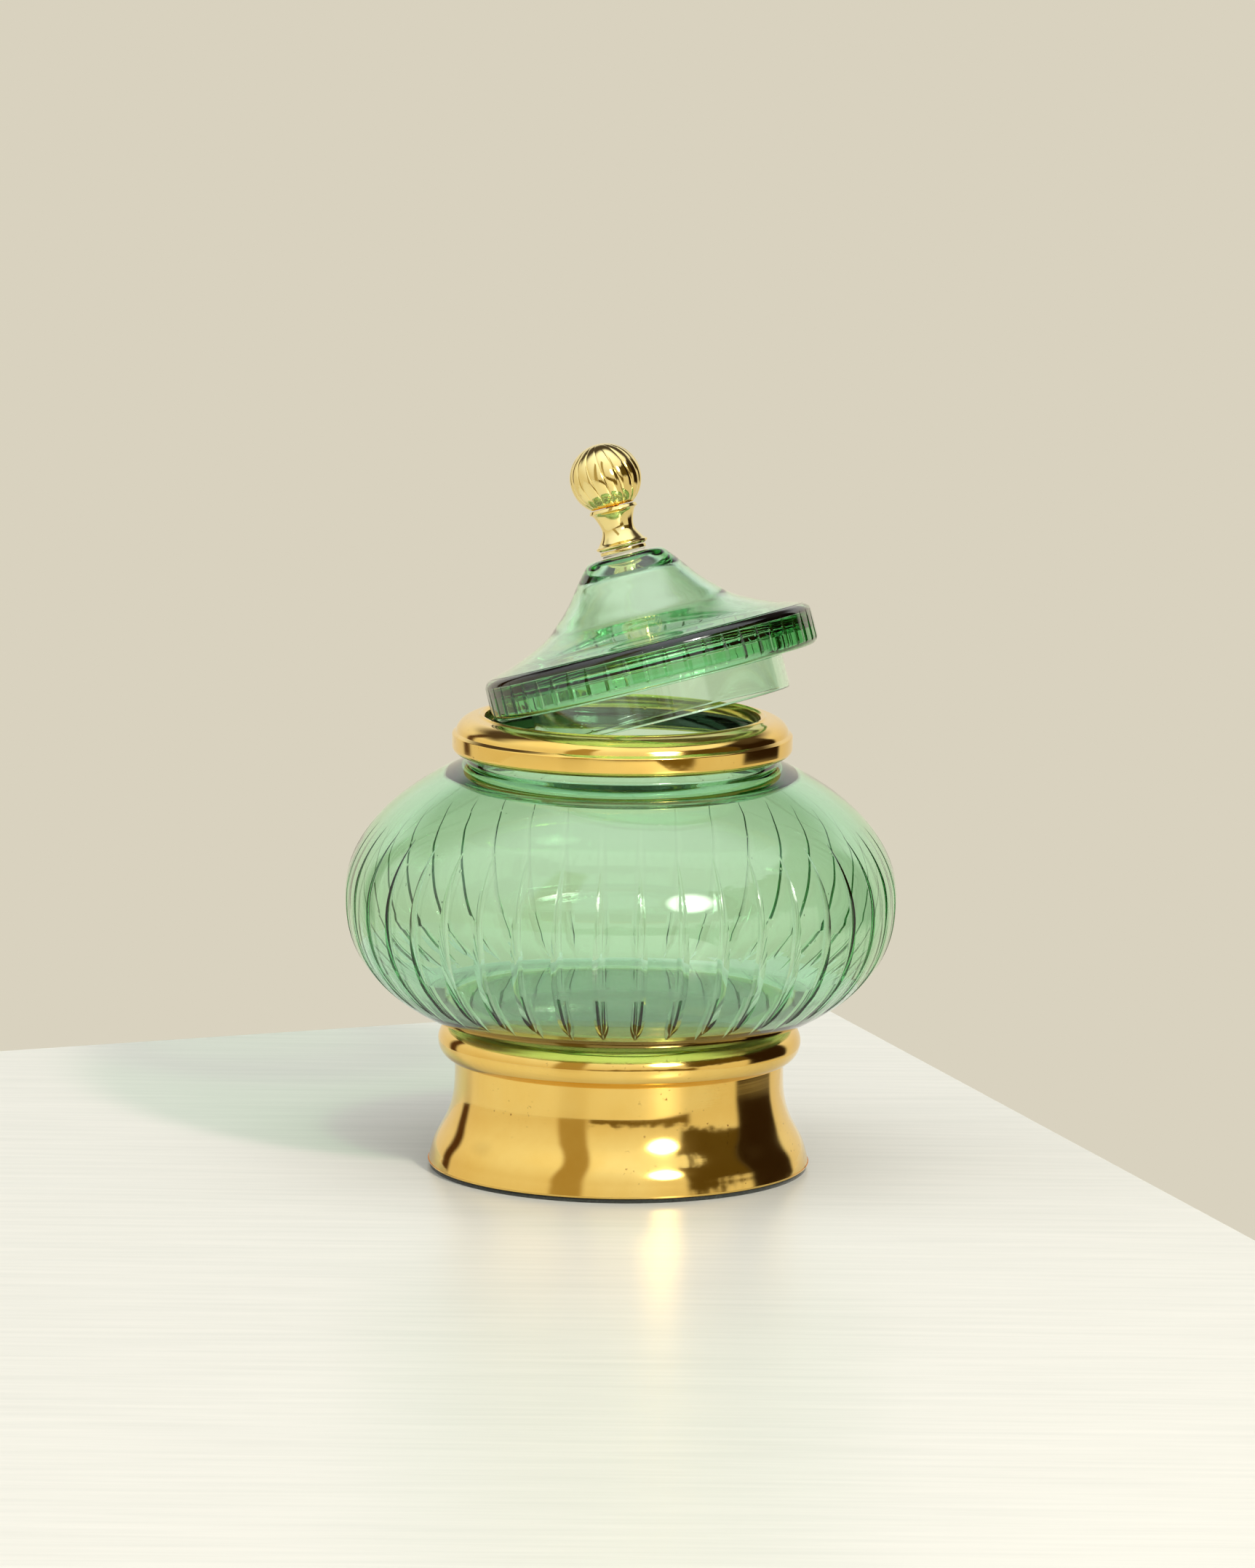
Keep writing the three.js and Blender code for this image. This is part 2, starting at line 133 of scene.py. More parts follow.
# %% Ways to draw an outline
def oval(radius, height, wide, tall, start, stop, count, fullness=2.0):
    """Points (radius + wide * cos a, height + tall * sin a), with cos and sin raised to
    2 / fullness: 2 is an ellipse and more is squarer. Angles are in degrees."""
    angle = np.radians(np.linspace(start, stop, count))
    power = [np.sign(v) * np.abs(v) ** (2 / fullness) for v in (np.cos(angle), np.sin(angle))]
    return np.stack([radius + wide * power[0], height + tall * power[1]], axis=1)


def through(points, count):
    """Catmull-Rom line: between two points, the cubic whose slope at each is half the step
    between its neighbours."""
    knots = np.array(points, float)
    where = np.linspace(0, len(knots) - 1, count)
    at = np.minimum(where.astype(int), len(knots) - 2)
    share = (where - at)[:, None]
    before, here = knots[np.maximum(at - 1, 0)], knots[at]
    after, beyond = knots[at + 1], knots[np.minimum(at + 2, len(knots) - 1)]
    leave, arrive = (after - before) / 2, (beyond - here) / 2
    cubic = (2 * here - 2 * after + leave + arrive) * share**3
    square = (3 * after - 3 * here - 2 * leave - arrive) * share**2
    return cubic + square + leave * share + here


def worn(points, radius, steps=5):
    """Rounds each corner: a quadratic arc from a point before it to a point after it, each
    radius away or 0.45 of the edge where that is less."""
    knots = np.array(points, float)
    back, ahead = knots[:-2] - knots[1:-1], knots[2:] - knots[1:-1]
    lengths = [np.maximum(np.linalg.norm(edge, axis=1, keepdims=True), 1e-9) for edge in (back, ahead)]
    reach = [np.minimum(radius / length, 0.45) for length in lengths]
    start, stop = knots[1:-1] + back * reach[0], knots[1:-1] + ahead * reach[1]
    share = np.linspace(0, 1, steps)[None, :, None]
    curve = (1 - share) ** 2 * start[:, None] + 2 * share * (1 - share) * knots[1:-1, None]
    curve = curve + share**2 * stop[:, None]
    return np.vstack([knots[:1], curve.reshape(-1, 2), knots[-1:]])


def spaced(points, step):
    """The same line with points no further apart than step: straight stretches get more."""
    lengths = np.linalg.norm(np.diff(points, axis=0), axis=1)
    counts = np.maximum(np.ceil(lengths / step).astype(int), 1)
    edge = np.repeat(np.arange(len(counts)), counts)
    share = np.concatenate([np.arange(n) / n for n in counts])[:, None]
    return np.vstack([points[edge] * (1 - share) + points[edge + 1] * share, points[-1:]])


# %% [markdown]
# ## Surfaces
#
# An outline turned about its axis is a grid: one row for each point of the outline, one column for
# each angle. Cuts and lobes are changes to that grid, made before it becomes a mesh. Where an
# outline meets the axis, the row closes to one point, so that the solid has no pinhole.

# %% Turn an outline into a closed mesh
def turned(outline, angles, change=None):
    """Points (r cos a, r sin a, z) for every outline point (r, z) and every angle a.
    change takes the grids of radius, angle and height, and returns new radius and angle."""
    capped = outline[0, 0] < 1e-6
    rows = outline[1:-1] if capped else outline[:-1]
    radius = np.repeat(rows[:, :1], len(angles), axis=1)
    height = np.repeat(rows[:, 1:], len(angles), axis=1)
    angle = np.repeat(angles[None, :], len(rows), axis=0)
    if change:
        radius, angle = change(radius, angle, height)
    points = np.stack([radius * np.cos(angle), radius * np.sin(angle), height], axis=2).reshape(-1, 3)
    columns = len(angles)
    row = np.arange(len(rows) - 1 if capped else len(rows))[:, None]
    column, beside = np.arange(columns)[None, :], (np.arange(columns)[None, :] + 1) % columns
    above = (row + 1) % len(rows)
    corners = [
        row * columns + column, row * columns + beside,
        above * columns + beside, above * columns + column,
    ]
    faces = np.stack(corners, axis=2).reshape(-1, 4).tolist()
    if capped:
        first, last = len(points), len(points) + 1
        points = np.vstack([points, [0, 0, outline[0, 1]], [0, 0, outline[-1, 1]]])
        top = (len(rows) - 1) * columns
        faces += [(first, b, a) for a, b in zip(column[0].tolist(), beside[0].tolist())]
        faces += [(top + a, top + b, last) for a, b in zip(column[0].tolist(), beside[0].tolist())]
    return points, faces


def rounds(columns):
    """Angles of evenly spaced columns, once round."""
    return 2 * math.pi * np.arange(columns) / columns


def piece(name, shape, material, body, node, place=None, crease=28):
    """Makes a named mesh from points in millimetres, faces, and if given the normal of each face
    corner. Otherwise it is smooth except where two faces meet at more than crease degrees. It
    rides on a body and stands for its frame node."""
    points, faces, *normals = shape
    mesh = bpy.data.meshes.new(name)
    mesh.from_pydata((points * MM).tolist(), [], faces)
    if place is not None:
        mesh.transform(place)
    mesh.polygons.foreach_set("use_smooth", np.ones(len(mesh.polygons), bool))
    if normals:
        turn = np.array(place)[:3, :3] if place is not None else np.eye(3)
        mesh.normals_split_custom_set((normals[0] @ turn.T).tolist())
    else:
        mesh.set_sharp_from_angle(angle=math.radians(crease))
    mesh.materials.append(material)
    made = bpy.data.objects.new(name, mesh)
    bpy.context.scene.collection.objects.link(made)
    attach(made, body)
    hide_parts(node)
    print(f"{name}: {len(mesh.polygons)} faces")
    return made


# %% [markdown]
# ## The camera
#
# A long lens from a little above keeps the ovals of the rim and the foot shallow, as in a catalogue
# picture. The camera is rolled by just over half a degree, so the table falls slightly to the right.

# %% Camera
CAMERA_PLACE = Vector((0.002, -2.782, 0.583))
CAMERA_DIP = 9.04
CAMERA_ROLL = 0.6
CAMERA_LENS = 178.7

camera_data = bpy.data.cameras.new("camera")
camera_data.lens = CAMERA_LENS
camera_data.clip_start, camera_data.clip_end = 0.1, 60
camera = bpy.data.objects.new("camera", camera_data)
tip = Matrix.Rotation(math.radians(90 - CAMERA_DIP), 4, "X")
roll = Matrix.Rotation(math.radians(CAMERA_ROLL), 4, "Z")
camera.matrix_world = Matrix.Translation(CAMERA_PLACE) @ tip @ roll
bpy.context.scene.collection.objects.link(camera)
bpy.context.scene.camera = camera

# %% [markdown]
# ## Colour and nodes
#
# Colours are written as they look on a screen, and turned to linear light by one function. One more
# function adds a node with its settings and its links, so that a material reads like a recipe.

# %% Colour and node helpers
def linear(code, alpha=1.0):
    """sRGB hex such as "d9a441" to linear red, green, blue and alpha."""
    parts = [int(code[i : i + 2], 16) / 255 for i in (0, 2, 4)]
    return (*[c / 12.92 if c <= 0.04045 else ((c + 0.055) / 1.055) ** 2.4 for c in parts], alpha)


def add(tree, kind, settings=None, **inputs):
    """Adds a node, sets its properties, and fills its sockets by name: a socket gets a link if
    the value is a socket, and a number or colour otherwise. Socket names use _ for a space, and
    a name such as in_1 is the socket at that place."""
    node = tree.nodes.new(kind)
    for name, value in (settings or {}).items():
        setattr(node, name, value)
    for name, value in inputs.items():
        socket = node.inputs[int(name[3:])] if name.startswith("in_") else node.inputs[name.replace("_", " ")]
        if isinstance(value, bpy.types.NodeSocket):
            tree.links.new(value, socket)
        else:
            socket.default_value = value
    return node


def blank(name):
    """A material with an empty node tree and an output, as (material, tree, output)."""
    made = bpy.data.materials.new(name)
    made.use_nodes = True
    made.node_tree.nodes.clear()
    return made, made.node_tree, made.node_tree.nodes.new("ShaderNodeOutputMaterial")


def ramp(tree, factor, stops):
    """A colour ramp with (place, colour) stops, smooth between them."""
    node = add(tree, "ShaderNodeValToRGB", Fac=factor)
    elements = node.color_ramp.elements
    for place, colour in stops[2:]:
        elements.new(place)
    for element, (place, colour) in zip(elements, stops):
        element.position = place
        element.color = colour
    return node.outputs["Color"]


# %% [markdown]
# ## Glass
#
# Sea-green soda-lime glass, blown and cut. The colour is in the body of the glass, from iron, so it
# deepens with the way that light travels through it: pale across one wall, dark at the edges where
# one looks along the wall. That is absorption, not paint. The surface also has a thin bright lustre,
# a coat that reflects more than bare glass. The lid is a little less dense than the bowl, and has
# more lustre. Lamps' shadow rays would stop at bent glass, so for those rays alone the surface is
# plainly clear, and the body still tints them.

# %% Glass
GLASS_IOR = 1.51
GLASS_THROUGH = "55dc84"  # what is left after a long way through the glass
LUSTRE_IOR = 1.9


def sea_green_glass(name, density, lustre):
    """Glass with slow waves from the mould and a few fine seeds, which are tiny bubbles."""
    made, tree, out = blank(name)
    where = add(tree, "ShaderNodeTexCoord").outputs["Object"]
    waves = add(tree, "ShaderNodeTexNoise", Vector=where, Scale=38.0, Detail=1.0).outputs["Fac"]
    seeds = add(tree, "ShaderNodeTexVoronoi", Vector=where, Scale=190.0).outputs["Distance"]
    marks = add(
        tree, "ShaderNodeMapRange",
        Value=seeds, From_Min=0.0, From_Max=0.12, To_Min=1.0, To_Max=0.0,
    )
    mould = add(tree, "ShaderNodeBump", Strength=0.10, Distance=0.0012, Height=waves)
    pits = add(
        tree, "ShaderNodeBump",
        Strength=0.05, Distance=0.0002, Height=marks.outputs["Result"], Normal=mould.outputs["Normal"],
    )
    bent = add(
        tree, "ShaderNodeBsdfPrincipled",
        Base_Color=linear("f4fff8"), Roughness=0.0, IOR=GLASS_IOR,
        Transmission_Weight=1.0, Normal=pits.outputs["Normal"],
        Coat_Weight=lustre, Coat_Roughness=0.0, Coat_IOR=LUSTRE_IOR, Coat_Normal=pits.outputs["Normal"],
    )
    clear = add(tree, "ShaderNodeBsdfTransparent", Color=linear("e6f2e9"))
    shadow = add(tree, "ShaderNodeLightPath").outputs["Is Shadow Ray"]
    both = add(tree, "ShaderNodeMixShader", Fac=shadow, in_1=bent.outputs[0], in_2=clear.outputs[0])
    body = add(tree, "ShaderNodeVolumeAbsorption", Color=linear(GLASS_THROUGH), Density=density)
    tree.links.new(both.outputs[0], out.inputs["Surface"])
    tree.links.new(body.outputs[0], out.inputs["Volume"])
    return made


bowl_glass = sea_green_glass("bowl_glass", 58.0, 0.1)
lid_glass = sea_green_glass("lid_glass", 48.0, 0.3)

# %% [markdown]
# ## Brass
#
# The foot, the collar and the knob are polished yellow brass under a thin clear lacquer. Spinning
# and buffing leave rings too fine to see singly, which only stretch a highlight. Years of handling
# add faint smears, and a few specks where the lacquer is broken and the metal has gone brown.

# %% Brass
RINGS_PER_METRE = 900.0
SPECK_SCALE = 120.0


def polished_brass(name, ringed, handled, bright):
    """Brass between a handled and a bright tone, with spinning rings where it is ringed."""
    made, tree, out = blank(name)
    where = add(tree, "ShaderNodeTexCoord").outputs["Object"]
    smears = add(
        tree, "ShaderNodeTexNoise",
        Vector=where, Scale=26.0, Detail=5.0, Roughness=0.62,
    ).outputs["Fac"]
    specks = add(tree, "ShaderNodeTexNoise", Vector=where, Scale=SPECK_SCALE * 5, Detail=2.0).outputs["Fac"]
    patches = add(tree, "ShaderNodeTexNoise", Vector=where, Scale=SPECK_SCALE / 5, Detail=2.0).outputs["Fac"]
    speck = add(tree, "ShaderNodeMapRange", Value=specks, From_Min=0.68, From_Max=0.76)
    patch = add(tree, "ShaderNodeMapRange", Value=patches, From_Min=0.52, From_Max=0.66)
    dark = add(
        tree, "ShaderNodeMath", {"operation": "MULTIPLY"},
        in_0=speck.outputs["Result"], in_1=patch.outputs["Result"],
    ).outputs[0]
    tone = ramp(tree, smears, ((0.3, linear(handled)), (0.72, linear(bright))))
    colour = add(
        tree, "ShaderNodeMix", {"data_type": "RGBA"},
        in_0=dark, in_6=tone, in_7=linear("8a5a24"),
    ).outputs[2]
    shine = add(
        tree, "ShaderNodeMapRange",
        Value=smears, From_Min=0.35, From_Max=0.75, To_Min=0.07, To_Max=0.13,
    )
    spread = add(
        tree, "ShaderNodeMapping",
        Vector=where, Scale=(2.0, 2.0, RINGS_PER_METRE if ringed else 2.0),
    ).outputs[0]
    rings = add(tree, "ShaderNodeTexNoise", Vector=spread, Scale=1.0, Detail=2.0).outputs["Fac"]
    dents = add(tree, "ShaderNodeTexNoise", Vector=where, Scale=34.0, Detail=1.0).outputs["Fac"]
    spun = add(tree, "ShaderNodeBump", Strength=0.05, Distance=0.0001, Height=rings)
    beaten = add(tree, "ShaderNodeBump", Strength=0.12, Distance=0.0008, Height=dents, Normal=spun.outputs[0])
    shader = add(
        tree, "ShaderNodeBsdfPrincipled",
        Base_Color=colour, Metallic=1.0, Roughness=shine.outputs["Result"], Normal=beaten.outputs[0],
    )
    tree.links.new(shader.outputs[0], out.inputs["Surface"])
    return made


spun_brass = polished_brass("spun_brass", True, "efc465", "f8d47b")
cast_brass = polished_brass("cast_brass", False, "f0d789", "fae9a8")

# %% [markdown]
# ## Felt, cement and steel
#
# The felt is pressed wool, so it has no weave: short fibres lie every way and catch light at the
# edge. The bedding is plaster with fine grains, mottled where it has drawn up polish. Both of its
# tones are darkened well past pale plaster as painted shade for the hollow inside the foot.

# %% Felt, cement and steel
def pressed_felt():
    made, tree, out = blank("pressed_felt")
    where = add(tree, "ShaderNodeTexCoord").outputs["Object"]
    fibres = add(
        tree, "ShaderNodeTexNoise",
        Vector=where, Scale=900.0, Detail=4.0, Distortion=1.5,
    ).outputs["Fac"]
    colour = ramp(tree, fibres, ((0.35, linear("161b18")), (0.7, linear("333a35"))))
    nap = add(tree, "ShaderNodeBump", Strength=0.7, Distance=0.0003, Height=fibres)
    shader = add(
        tree, "ShaderNodeBsdfPrincipled",
        Base_Color=colour, Roughness=0.95, Sheen_Weight=0.4, Normal=nap.outputs[0],
    )
    tree.links.new(shader.outputs[0], out.inputs["Surface"])
    return made


def plaster(name, lighter_tone, stained):
    made, tree, out = blank(name)
    where = add(tree, "ShaderNodeTexCoord").outputs["Object"]
    stain = add(tree, "ShaderNodeTexNoise", Vector=where, Scale=60.0, Detail=6.0).outputs["Fac"]
    grains = add(tree, "ShaderNodeTexNoise", Vector=where, Scale=1500.0, Detail=2.0).outputs["Fac"]
    colour = ramp(tree, stain, ((0.35, linear(lighter_tone)), (0.7, linear(stained))))
    rough = add(tree, "ShaderNodeBump", Strength=0.5, Distance=0.0002, Height=grains)
    shader = add(tree, "ShaderNodeBsdfPrincipled", Base_Color=colour, Roughness=0.85, Normal=rough.outputs[0])
    tree.links.new(shader.outputs[0], out.inputs["Surface"])
    return made


def turned_steel():
    made, tree, out = blank("turned_steel")
    where = add(tree, "ShaderNodeTexCoord").outputs["Object"]
    marks = add(tree, "ShaderNodeTexNoise", Vector=where, Scale=700.0, Detail=3.0).outputs["Fac"]
    shine = add(tree, "ShaderNodeMapRange", Value=marks, To_Min=0.25, To_Max=0.45).outputs["Result"]
    colour = ramp(tree, marks, ((0.3, linear("8f9090")), (0.7, linear("b4b5b4"))))
    shader = add(tree, "ShaderNodeBsdfPrincipled", Base_Color=colour, Metallic=1.0, Roughness=shine)
    tree.links.new(shader.outputs[0], out.inputs["Surface"])
    return made


felt = pressed_felt()
# The bedding's two tones are darkened past pale plaster: painted shade for the hollow inside the foot, seen
# through the glass.
shade_darkened_bedding = plaster("bedding_plaster", "8f8672", "6f6650")
bond = plaster("knob_adhesive", "d8d6c4", "c9c7a8")
steel = turned_steel()

# %% [markdown]
# ## The foot
#
# A spun brass foot: a skirt that sweeps in to a waist, a crease, and a round bead that carries the
# bowl. The skirt's lower edge is turned in, and the felt is glued under it.

# %% Foot
FOOT_BOTTOM = foot_low[2]


def foot_outline():
    """Up the skirt, round the bead, and down inside the wall."""
    flare = FOOT_RADIUS - FOOT_WAIST

    def skirt(wall):
        knots = [(FOOT_WAIST + flare * out - wall, FOOT_CREASE * up) for out, up in FOOT_CURVE]
        start, stop = (FOOT_RADIUS - wall, FOOT_BOTTOM + wall), (FOOT_WAIST - wall, FOOT_CREASE)
        return through([start, *knots, stop], 44)

    bead = oval(BEAD_RADIUS, BEAD_MIDDLE, BEAD, BEAD, -83, 130, 44)
    edge = FOOT_RADIUS - FOOT_FLANGE
    lip = worn([(edge, FOOT_BOTTOM), (FOOT_RADIUS, FOOT_BOTTOM), (FOOT_RADIUS, FOOT_BOTTOM + 2)], 0.9)
    inside = [(bead[-1, 0], BEAD_MIDDLE - BEAD * 0.6)]
    close = [(edge, FOOT_BOTTOM + FOOT_WALL), (edge, FOOT_BOTTOM)]
    return np.vstack([lip[:-1], skirt(0)[1:], bead, inside, skirt(FOOT_WALL)[::-1], close])


ROUND_COLUMNS = 288
piece(
    "foot", turned(foot_outline(), rounds(ROUND_COLUMNS)), spun_brass,
    "jar", "base_pedestal",
)

# %% Felt
FELT_TOP = felt_high[2]
felt_outline = np.vstack([
    [(0, 0)],
    worn([
        (FELT_RADIUS - 2, 0), (FELT_RADIUS, 0), (FELT_RADIUS, FELT_TOP), (FELT_RADIUS - 2, FELT_TOP),
    ], 0.25),
    [(0, FELT_TOP)],
])
piece("felt", turned(felt_outline, rounds(ROUND_COLUMNS)), felt, "jar", "base_felt")

# %% [markdown]
# ## Ground cuts
#
# The upright cuts are ground by a wheel with a worn V edge, and polished. Each starts square at its
# lower end and runs out to a point at its upper one. Each cut gets its own columns, which gather
# between the cut's two edges, so the edges are real creases and the worn bottom of the V is smooth.

# %% Columns that follow a cut
def cut_columns(count, inner, outer):
    """Where each column stands round count cuts: its place, 0 at a cut's bottom, 1 at its edge and
    2 half way to the next cut, and the angle of the cut it is measured from. Columns past half way
    are measured back from the next cut, so their place is negative."""
    half = np.concatenate([np.arange(inner) / inner, 1 + np.arange(outer) / outer])
    place = np.concatenate([half, [2.0], -half[:0:-1]])
    centre = np.arange(count)[:, None] + (place < 0)[None, :]
    return np.tile(place, count), centre.ravel() * 2 * math.pi / count


CUT_WEAR = 1.25  # 1 is a sharp V and 2 is a round hollow
CUT_BLUNT_END = 0.07  # shares of a cut's length over which its ends close
CUT_POINTED_END = 0.55
CUT_COLUMNS, BETWEEN_COLUMNS = 4, 3  # on each side of a cut's bottom, and from its edge to half way


def fluted(outline, count, low, high, width, depth, wall):
    """Cuts between two heights, square-ended below and pointed above: half width * taper and
    depth * taper * (1 - place ** CUT_WEAR). Only the points outside wall(height) are cut. The
    lean of the glass there is that curve's slope."""
    place, centre = cut_columns(count, CUT_COLUMNS, BETWEEN_COLUMNS)
    leans = []

    def change(radius, angle, height):
        share = np.clip((height - low) / (high - low), 0, 1)
        blunt, pointed = np.clip(share / CUT_BLUNT_END, 0, 1), np.clip((1 - share) / CUT_POINTED_END, 0, 1)
        taper = blunt**0.5 * pointed**0.7
        half = width / 2 * np.maximum(taper, 0.1) / np.maximum(radius, 1)
        pitch = math.pi / count
        across = np.abs(place)[None, :]
        inside = half * np.minimum(across, 1) + (pitch - half) * np.maximum(across - 1, 0)
        deep = depth * taper * (radius > wall(height))
        steep = CUT_WEAR * np.sign(place)[None, :] * across ** (CUT_WEAR - 1)
        leans.append(-steep * deep / (half * np.maximum(radius, 1)))
        ground = deep * np.clip(1 - across**CUT_WEAR, 0, 1)
        return radius - ground, centre[None, :] + np.sign(place)[None, :] * inside

    points, faces = turned(outline, centre, change)
    return points, faces, corner_normals(points, outline, leans[0], np.abs(place) <= 1)


def corner_normals(points, outline, lean, cut):
    """The outward normal at each corner of each face. On uncut glass it is square to the outline
    and level with the axis, so uneven columns don't show. In a cut it leans round the axis too,
    so a cut's edge is a crease while its hollow is smooth."""
    rows, columns = lean.shape
    grid = points[: rows * columns].reshape(rows, columns, 3)
    slope = np.gradient(outline[1:-1], axis=0)
    slope /= np.linalg.norm(slope, axis=1, keepdims=True)
    angle = np.arctan2(grid[..., 1], grid[..., 0])
    level = 0 * angle
    outward = slope[:, 1:]
    plain = np.stack([outward * np.cos(angle), outward * np.sin(angle), level - slope[:, :1]], axis=2)
    round_axis = np.stack([-np.sin(angle), np.cos(angle), level], axis=2)
    ground = plain + lean[..., None] * round_axis
    ground /= np.linalg.norm(ground, axis=2, keepdims=True)
    here = (cut & np.roll(cut, -1))[None, :, None]
    left = np.where(here, ground, plain)
    right = np.where(here, np.roll(ground, -1, axis=1), np.roll(plain, -1, axis=1))
    quads = np.stack([left[:-1], right[:-1], right[1:], left[1:]], axis=2).reshape(-1, 3)
    caps = np.repeat([[0.0, 0.0, -1.0], [0.0, 0.0, 1.0]], columns * 3, axis=0)
    return np.vstack([quads, caps])


# %% [markdown]
# ## The bowl
#
# A squat blown bowl. Its lower half is a fuller oval than its upper half, cut off by a flat base
# that sits on the brass bead. Inside, the wall is even but the floor and the root of the neck are
# thicker, which shows as a pale ring under the collar.

# %% Bowl
BOWL_CUTS = 42
BOWL_CUT_LOW = BELLY - 37.0
BOWL_CUT_HIGH = BELLY + 28.0
BOWL_CUT_NEAR = 45.0  # every cut ends within this of the widest place
BOWL_CUT_WIDTH = 4.6
BOWL_CUT_DEPTH = 0.8

share_of_base = 1 - (BASE_RADIUS / BOWL_RADIUS) ** LOWER_FULLNESS
LOWER_HALF = (BELLY - BOWL_BASE) / share_of_base ** (1 / LOWER_FULLNESS)
BORE = NECK_RADIUS - NECK_WALL


def angle_at(share, fullness=2.0):
    """Angle, in degrees, where an oval has narrowed to this share of its width."""
    return math.degrees(math.acos(share ** (fullness / 2)))


def bowl_outline():
    """Across the base, up the belly, over the shoulder, round the rim and down inside."""
    base = worn([
        (BASE_RADIUS - 4, BOWL_BASE), (BASE_RADIUS, BOWL_BASE), (BASE_RADIUS + 3, BOWL_BASE + 1.3),
    ], 1.2)
    lower_angle = -angle_at(BASE_RADIUS / BOWL_RADIUS, LOWER_FULLNESS)
    lower = oval(0, BELLY, BOWL_RADIUS, LOWER_HALF, lower_angle, 0, 70, LOWER_FULLNESS)
    lower = lower[lower[:, 1] > BOWL_BASE + 1.0]
    upper = oval(0, BELLY, BOWL_RADIUS, UPPER_HALF, 0, angle_at((NECK_RADIUS + 1.6) / BOWL_RADIUS), 60)[1:]
    crease = worn([upper[-1], (NECK_RADIUS, SHOULDER), (NECK_RADIUS, SHOULDER + 2.4)], 2.0)[1:]
    half = NECK_WALL / 2
    rim = oval(NECK_RADIUS - half, GLASS_TOP - half, half, half, 0, 180, 14)
    flare_top = SHOULDER - NECK_ROOT + NECK_FLARE
    throat = oval(BORE + NECK_FLARE, flare_top, NECK_FLARE, NECK_FLARE, 180, 290, 20)
    inner = BOWL_RADIUS - BOWL_WALL
    inner_angle = angle_at((BORE + NECK_FLARE * 2.5) / inner)
    inner_upper = oval(0, BELLY, inner, UPPER_HALF - BOWL_WALL, inner_angle, 0, 30)
    floor = BOWL_BASE + BOWL_FLOOR
    inner_half = LOWER_HALF - BOWL_WALL
    floor_angle = math.degrees(math.asin(((BELLY - floor) / inner_half) ** (LOWER_FULLNESS / 2)))
    inner_lower = oval(0, BELLY, inner, inner_half, 0, -floor_angle, 60, LOWER_FULLNESS)[1:]
    corner = worn([inner_lower[-6], inner_lower[-1], (inner_lower[-1, 0] - 8, floor)], 6, 9)
    meet = through([throat[-3], throat[-1], inner_upper[0], inner_upper[2]], 25)[9:17]
    return np.vstack([
        [(0, BOWL_BASE), (BASE_RADIUS - 20, BOWL_BASE)], base[:-1], lower, upper, crease, rim,
        throat[:-1], meet, inner_upper[1:], inner_lower[:-6], corner, [(0, floor)],
    ])


def bowl_wall_middle(height):
    """About the radius of the middle of the wall near the cuts, and 0 elsewhere."""
    away = np.abs(height - BELLY)
    half = np.where(height < BELLY, LOWER_HALF, UPPER_HALF)
    skin = BOWL_RADIUS * np.sqrt(np.clip(1 - (away / half) ** 2, 0, 1))
    return np.where(away < BOWL_CUT_NEAR, skin - BOWL_WALL / 2, 0)


bowl_shape = fluted(
    bowl_outline(), BOWL_CUTS, BOWL_CUT_LOW, BOWL_CUT_HIGH, BOWL_CUT_WIDTH, BOWL_CUT_DEPTH,
    wall=bowl_wall_middle,
)
piece("bowl", bowl_shape, bowl_glass, "jar", "glass_bowl")

# %% [markdown]
# ## The collar
#
# A pressed brass channel over the rim: a rolled lower edge, an upright band, a fine step, and a dome
# that dips to a narrow lip inside the mouth.

# %% Collar
COLLAR_BOTTOM = collar_low[2]
COLLAR_TOP = collar_high[2]


def collar_outline():
    """From the hem round the rolled edge, up the band and over the dome, then back inside."""
    step, dome = COLLAR_RADIUS - COLLAR_STEP, COLLAR_BOTTOM + COLLAR_BAND + COLLAR_STEP * 0.7
    rise = COLLAR_TOP - dome
    hem, under, lip = NECK_RADIUS + COLLAR_HEM, COLLAR_RADIUS - COLLAR_SHEET, MOUTH + COLLAR_LIP
    roof = GLASS_TOP + COLLAR_ROOM
    roll = oval(
        COLLAR_RADIUS - COLLAR_ROLL, COLLAR_BOTTOM + COLLAR_ROLL, COLLAR_ROLL, COLLAR_ROLL, -90, 0, 12,
    )
    domed = through([
        (step, dome), *[(step - inwards, dome + rise * up) for inwards, up in COLLAR_DOME],
        (lip + COLLAR_LIP * 0.6, COLLAR_TOP - COLLAR_LIP * 0.6 + 0.3), (lip, COLLAR_TOP),
    ], 40)
    inside = worn([
        (MOUTH + COLLAR_LIP * 0.6, COLLAR_TOP), (MOUTH, COLLAR_TOP - 0.6), (MOUTH, GLASS_TOP - 0.5),
        (lip, GLASS_TOP - 0.5), (lip, roof), (NECK_RADIUS, roof), (under - COLLAR_SHEET, roof - COLLAR_SHEET),
        (under, roof - COLLAR_SHEET * 3), (under, COLLAR_BOTTOM + COLLAR_SHEET),
        (hem, COLLAR_BOTTOM + COLLAR_SHEET),
        (hem, COLLAR_BOTTOM + COLLAR_SHEET * 0.25),
    ], 0.35)
    start = [(hem, COLLAR_BOTTOM + COLLAR_SHEET * 0.25), (hem + COLLAR_SHEET / 2, COLLAR_BOTTOM)]
    band = worn([roll[-1], (COLLAR_RADIUS, COLLAR_BOTTOM + COLLAR_BAND), (step, dome)], 0.4)
    return np.vstack([start, roll, band[1:-1], domed, inside])


piece(
    "collar", turned(collar_outline(), rounds(ROUND_COLUMNS)), spun_brass,
    "jar", "rim_collar", crease=22,
)

# %% [markdown]
# ## Where the lid leans
#
# The lid has slipped: one edge is down inside the collar. Its pieces are made upright about their
# own axis and then put in place by one matrix. The middle of the points of a turned solid lies on
# its axis, so two frame nodes give the axis, and the lid's highest point along it gives the rest.

